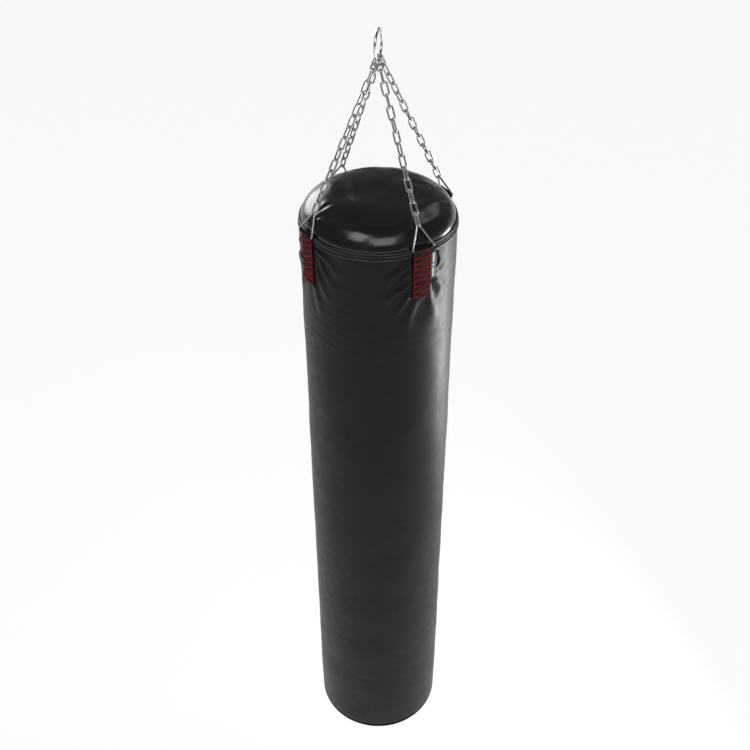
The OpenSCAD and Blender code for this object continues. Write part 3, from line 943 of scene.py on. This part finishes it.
def build_tape(name, z0, z1, nodes, blended=False):
    count = 540
    az = np.linspace(0, 2 * PI, count, endpoint=False)
    profile = rounded_box(BAG_R - 2.4 * MM, BAG_R - 1.6 * MM, z0, z1, 0.25 * MM, 0.9 * MM, 2)
    verts, faces = lathe(profile, az)
    lay = np.stack([np.repeat(az * BAG_R, len(profile)), np.tile([p[1] for p in profile], count),
                    np.zeros(count * len(profile))], 1)
    add_rim_piece(name, verts, faces, TAPE_WEB, nodes, blended, lay)


def build_coil(name, base_z, tip_z, offset, nodes, blended=False):
    """Nylon teeth: one small loop at each pitch, all pointing at the other row."""
    pitch = 1.6 * MM
    start, sweep = math.radians(STRAPS["back_right"] + 2), math.radians(356)
    count = int(sweep * BAG_R / pitch)
    az = start + (np.arange(count) + offset) * pitch / BAG_R
    half = 0.36 * MM
    r0, r1 = BAG_R - 1.55 * MM, BAG_R + 0.15 * MM
    step = (tip_z - base_z) / abs(tip_z - base_z)
    # Outline of a tooth in (radius, height), seen from the side
    outline = [(r0, base_z), (r1 - 0.5 * MM, base_z), (r1, base_z + step * 0.5 * MM),
               (r1, tip_z - step * 0.7 * MM), (r1 - 0.45 * MM, tip_z), (r0 + 0.45 * MM, tip_z),
               (r0, tip_z - step * 0.6 * MM)]
    parts_v, k = [], len(outline)
    for shift, shrink in ((-half, 0.12 * MM), (-half * 0.5, 0), (half * 0.5, 0), (half, 0.12 * MM)):
        mid_r = sum(p[0] for p in outline) / k
        mid_z = sum(p[1] for p in outline) / k
        for r, z in outline:
            size = math.hypot(r - mid_r, z - mid_z)
            f = 1 - shrink / size
            rr, zz = mid_r + (r - mid_r) * f, mid_z + (z - mid_z) * f
            a = az + shift / BAG_R
            parts_v.append(round_axis(rr, a, np.full(count, SEAM + zz)))
    verts = np.stack(parts_v, 1).reshape(-1, 3)
    one = grid_faces(4, k, False, True).tolist() + [list(range(k)), list(range(3 * k, 4 * k))]
    faces = [[i + n * 4 * k for i in f] for n in range(count) for f in one]
    add_rim_piece(name, verts, faces, COIL, nodes, blended)


build_bead("welt_bead", BAG_R - 0.1 * MM, 1.2 * MM, 3.4 * MM, ["rim_welt"], wobble=0.12)
build_bead("piping_bead", BAG_R - 2.5 * MM, 14.0 * MM, 3.6 * MM, ["lid_piping", "lid_piping_flap"],
           True, 0.2)
build_tape("tape_lower", 2.4 * MM, 6.9 * MM, ["zip_tape_lower"])
build_tape("tape_upper", 8.3 * MM, 12.2 * MM, ["zip_tape_upper", "zip_tape_upper_flap"], True)
build_coil("coil_lower", 4.7 * MM, 7.8 * MM, 0.0, ["zip_coil_lower"])
build_coil("coil_upper", 10.5 * MM, 7.5 * MM, 0.5, ["zip_coil_upper", "zip_coil_upper_flap"], True)


# ---------------------------------------------------------------- straps, stitches and the label
STRAP_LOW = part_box("strap_front_right")[0].z - SEAM
STITCH_TOP, STITCH_LOW, STITCH_HALF, RUNGS = 9 * MM, STRAP_LOW + 3.5 * MM, 19.3 * MM, 9


def stitch_lines():
    """The straight runs of the sewing pattern as (s, z) pairs: two sides, rungs and one diagonal a cell."""
    heights = np.linspace(STITCH_TOP, STITCH_LOW, RUNGS)
    w = STITCH_HALF
    lines = [((-w, heights[i]), (w, heights[i])) for i in range(RUNGS)]
    lines += [((-w, heights[i + 1]), (w, heights[i])) for i in range(RUNGS - 1)]
    lines += [((side, heights[i]), (side, heights[i + 1])) for side in (-w, w) for i in range(RUNGS - 1)]
    return lines


def stitch_dent(s, z):
    """How deep the sewing pulls the webbing in, from 0 to 1."""
    deep = np.zeros(len(s))
    for (s0, z0), (s1, z1) in stitch_lines():
        ds, dz = s1 - s0, z1 - z0
        t = np.clip(((s - s0) * ds + (z - z0) * dz) / (ds * ds + dz * dz), 0, 1)
        off = np.hypot(s - s0 - t * ds, z - z0 - t * dz)
        deep = np.maximum(deep, hump(off, 1.5 * MM))
    return deep


def strap_shape(name):
    """The strap's middle line as (radius, height) points, from the front end over the bar to the back end."""
    base = triangle_frame(name)[0]
    bar_r, bar_z = math.hypot(base[0], base[1]), base[2] - SEAM
    loop = 2.3 * MM + STRAP_PLY / 2 + 0.05 * MM
    front_z = np.arange(STRAP_LOW + 0.5 * MM, STITCH_TOP + 1 * MM, 1.0 * MM)
    rise = np.linspace(0, 1, 14)[:-1]
    up_z = front_z[-1] + 1 * MM + rise * (bar_z - front_z[-1] - 1 * MM)
    up_r = STRAP_FRONT + (bar_r + loop - STRAP_FRONT) * smooth(rise, 0.1, 1.0)
    turn = np.linspace(0, PI, 15)
    back_z = np.linspace(bar_z - 1.5 * MM, STRAP_LOW + 1.5 * MM, 36)
    rows = [(STRAP_FRONT, z) for z in front_z]
    rows += list(zip(up_r, up_z))
    rows += [(bar_r + loop * math.cos(a), bar_z + loop * math.sin(a)) for a in turn]
    rows += [(max(STRAP_BACK, bar_r - loop) if z > 0 else STRAP_BACK, z) for z in back_z]
    return np.array(rows)


def build_strap(name):
    az = math.radians(STRAPS[name])
    line = strap_shape(name)
    count = len(line)
    tangent = np.gradient(line, axis=0)
    tangent /= np.linalg.norm(tangent, axis=1)[:, None]
    out = np.stack([tangent[:, 1], -tangent[:, 0]], 1)
    length = np.concatenate([[0], np.cumsum(np.linalg.norm(np.diff(line, axis=0), axis=1))])
    half_w, half_t = STRAP_W / 2 - 0.2 * MM, STRAP_PLY / 2
    s_top = np.linspace(-1, 1, 52)
    s_low = np.linspace(1, -1, 16)[1:-1]
    s = np.concatenate([s_top, s_low])
    side = np.concatenate([np.ones(len(s_top)), -np.ones(len(s_low))])
    edge = np.sqrt(np.clip(1 - np.clip((np.abs(s) - 0.965) / 0.035, 0, 1) ** 2, 0, 1))
    gs, gl = np.tile(s, count), np.repeat(length, len(s))
    gline, gout = np.repeat(line, len(s), 0), np.repeat(out, len(s), 0)
    seed = int(STRAPS[name]) + 200
    wander = waves(np.stack([gs * 4, gl / MM], 1), 40, seed) * 0.15 * MM
    across = gs * half_w + wander
    offset = np.tile(side * half_t * edge, count)
    first = (gline[:, 1] < STITCH_TOP + 1 * MM) & (gl < 0.45 * length[-1]) & (np.tile(side, count) > 0)
    offset -= np.where(first, stitch_dent(across, gline[:, 1]) * 0.45 * MM, 0)
    offset += np.where(first, waves(np.stack([across / MM, gl / MM], 1), 16, seed + 1) * 0.07 * MM, 0)
    frayed = np.repeat((np.arange(count) < 2) | (np.arange(count) > count - 3), len(s))
    gz_extra = np.where(frayed, waves(np.stack([across / MM * 3, gl / MM], 1), 5, seed + 2) * 0.3 * MM, 0)
    r = gline[:, 0] + gout[:, 0] * offset
    z = gline[:, 1] + gout[:, 1] * offset + gz_extra
    flat = smooth(gline[:, 1], 6 * MM, 18 * MM)
    angle = across / (BAG_R + 2.5 * MM)
    round_e, round_t = r * np.cos(angle), r * np.sin(angle)
    e, t = round_e * (1 - flat) + r * flat, round_t * (1 - flat) + across * flat
    verts = np.stack([e * math.cos(az) - t * math.sin(az), e * math.sin(az) + t * math.cos(az), z + SEAM], 1)
    faces = grid_faces(count, len(s), False, True).tolist()
    faces += [list(range(len(s))), list(range((count - 1) * len(s), count * len(s)))]
    lay = np.stack([across, gl, np.zeros(len(gl))], 1)
    strap = add_piece(f"strap_web_{name}", verts, faces, STRAP_WEB, "bag", [f"strap_{name}"], lay=lay)
    build_stitches(name, az)


def build_stitches(name, az):
    """Red thread: a row of thick stitches along each line of the pattern."""
    lift = STRAP_FRONT + STRAP_PLY / 2 - 0.12 * MM

    def place(s, z):
        a = az + s / (BAG_R + 2.5 * MM)
        return (lift * math.cos(a), lift * math.sin(a), z + SEAM)

    starts, ends = [], []
    for a, b in stitch_lines():
        p, q = stitch_row(place, a, b, 3.9 * MM)
        starts += p
        ends += q
    starts, ends = np.array(starts), np.array(ends)
    rng = np.random.default_rng(int(STRAPS[name]) + 300)
    starts[:, 2] += rng.normal(0, 0.12 * MM, len(starts))
    ends[:, 2] += rng.normal(0, 0.12 * MM, len(ends))
    ups = starts * (1, 1, 0)
    verts, faces = stitches(starts, ends, ups / np.linalg.norm(ups, axis=1)[:, None], 0.72 * MM)
    return add_piece(f"stitches_{name}", verts, faces, RED_THREAD, "bag")


def build_label():
    """The side tag, one edge caught under the front right strap."""
    lo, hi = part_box("side_label")
    wide, tall, thick = 13 * MM, hi.z - lo.z, 0.7 * MM
    start = math.radians(STRAPS["front_right"]) + (STRAP_W / 2 + 0.3 * MM) / (BAG_R + 2.6 * MM)
    rows, cols = 78, 16
    z = np.linspace(hi.z - SEAM, lo.z - SEAM, rows)
    s = np.linspace(0, wide, cols)
    gz, gs = np.repeat(z, cols), np.tile(s, rows)
    points = np.stack([gs / MM, gz / MM], 1)
    curl = 0.4 + 0.6 * hump(gz - lo.z + SEAM, 22 * MM)
    lift = waves(points, 46, 61) * 0.15 + 0.8 * smooth(gs, 4 * MM, wide) * curl
    r = BAG_R + 1.0 * MM + lift * MM
    sheets = []
    for extra in (thick, 0):
        a = start + gs / BAG_R
        sheets.append(round_axis(r + extra, a, gz + SEAM))
    n = rows * cols
    faces = grid_faces(rows, cols).tolist() + (grid_faces(rows, cols)[:, ::-1] + n).tolist()
    rim = list(range(cols)) + [i * cols + cols - 1 for i in range(1, rows)]
    rim += list(range((rows - 1) * cols, rows * cols - 1))[::-1] + [i * cols for i in range(rows - 2, 0, -1)]
    faces += [[a, b, b + n, a + n] for a, b in zip(rim, rim[1:] + rim[:1])]
    lay = np.stack([gs - wide / 2, gz - (lo.z - SEAM), 0 * gs], 1)
    tag = add_piece("label_tag", np.concatenate(sheets), faces, LABEL, "bag", ["side_label"],
                    lay=np.concatenate([lay, lay]))


for strap in STRAPS:
    build_strap(strap)
build_label()


# ---------------------------------------------------------------- inside the bag
def soft_band(name, node, profile, material, size=60, amp=0.6, wrap=True, from_az=0.0, to_az=2 * PI,
              lay=False):
    """A soft inner part turned round the axis, with an uneven skin. profile is (r, z) from the seam."""
    count = 220 if wrap else 24
    az = np.linspace(from_az, to_az, count, endpoint=not wrap)
    verts, faces = lathe(profile, az, wrap)
    uneven = waves(verts / MM, size, len(node)) * amp * MM
    outward = verts * (1, 1, 0)
    outward /= np.maximum(np.linalg.norm(outward, axis=1), 1e-6)[:, None]
    verts = verts + outward * np.minimum(uneven, 0)[:, None]
    extra = None
    if lay:
        k = len(profile)
        extra = np.stack([np.repeat(az * BAG_R, k), np.tile([p[1] for p in profile], count),
                          np.zeros(count * k)], 1)
    return add_piece(name, settled(verts) if "backing" not in node else verts, faces, material, "bag", [node],
                     lay=extra, weld=not lay)


def lid_pad_profile(r1, z0):
    """Half outline of the foam that fills the lid, a little inside the lid's underside."""
    gap = 3 * MM
    side = [(r1 * i / 12, z0) for i in range(12)]
    r = r1 * np.sin(np.linspace(PI / 2, 0, 26))
    top = lid_plain(r * LID_R / (LID_R - gap) / MM) * MM - gap
    return side + list(zip(r, top))


def pad_profile(r1, z0, z1, bevel, step=8 * MM):
    """A disc's half outline from the axis out and back, to be turned: the axis side stays open and is welded."""
    out = [(0.0, z0)]
    n = max(2, int(r1 / step))
    out += [((r1 - bevel) * i / n, z0) for i in range(1, n + 1)]
    out += [(r1 - bevel + bevel * math.sin(math.radians(a)), z0 + bevel - bevel * math.cos(math.radians(a)))
            for a in (30, 60, 90)]
    rise = max(1, int((z1 - z0 - 2 * bevel) / step))
    out += [(r1, z0 + bevel + (z1 - z0 - 2 * bevel) * i / rise) for i in range(1, rise + 1)]
    out += [(r1 - bevel + bevel * math.cos(math.radians(a)), z1 - bevel + bevel * math.sin(math.radians(a)))
            for a in (30, 60, 90)]
    out += [((r1 - bevel) * i / n, z1) for i in range(n - 1, -1, -1)]
    return out


def box_of(node):
    lo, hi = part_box(node)
    return lo.z - SEAM, hi.z - SEAM


def build_inside():
    band_out = BAG_R - 1.45 * MM
    for name, node in (("rim_webbing", "rim_band"), ("bottom_tape", "bottom_seam_tape")):
        z0, z1 = box_of(node)
        band = soft_band(name, node, rounded_box(band_out - 1.2 * MM, band_out, z0, z1, 0.4 * MM),
                         INNER_WEB, amp=0.0, lay=True)
    patch_out = BAG_R - 2.85 * MM
    for name, mid in STRAPS.items():
        node = f"backing_{name}"
        z0, z1 = box_of(node)
        half = 35 * MM / patch_out
        patch = soft_band(f"backing_patch_{name}", node,
                          rounded_box(patch_out - 1.2 * MM, patch_out, z0, z1, 0.4 * MM), INNER_WEB,
                          amp=0.0, wrap=False, from_az=math.radians(mid) - half,
                          to_az=math.radians(mid) + half, lay=True)
    z0, z1 = box_of("foam_liner")
    liner_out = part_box("foam_liner")[1].x
    liner_cut = rounded_box(liner_out - 6 * MM, liner_out, z0, z1, 1.5 * MM, 30 * MM)
    liner = soft_band("liner_sleeve", "foam_liner", liner_cut, LINER_FOAM, 90, 0.4)
    z0, z1 = box_of("filling")
    rags = soft_band("filling_rags", "filling", pad_profile(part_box("filling")[1].x, z0, z1, 4 * MM, 25 * MM),
                     RAGS, 45, 0.8)
    pad = soft_band("top_pad_foam", "top_pad", lid_pad_profile(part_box("top_pad")[1].x, box_of("top_pad")[0]),
                    PAD_FOAM, 45, 0.8)
    z0, z1 = box_of("base_pad")
    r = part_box("base_pad")[1].x
    low = [(r * math.sin(math.radians(t)), float(bottom_height(r * math.sin(math.radians(t)), r, -BAG_LEN - z0)))
           for t in np.linspace(0, 90, 18)]
    flat_top = [(r * i / 8, z1) for i in range(8, -1, -1)]
    base = soft_band("base_pad_foam", "base_pad", low + flat_top, PAD_FOAM, 50, 0.6)


build_inside()


# ---------------------------------------------------------------- metal zip parts keep their CAD shape
for node in ("zip_slider", "zip_pull", "zip_stops"):
    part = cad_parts[node]
    part.data.materials.clear()
    part.data.materials.append(ZIP_STEEL)
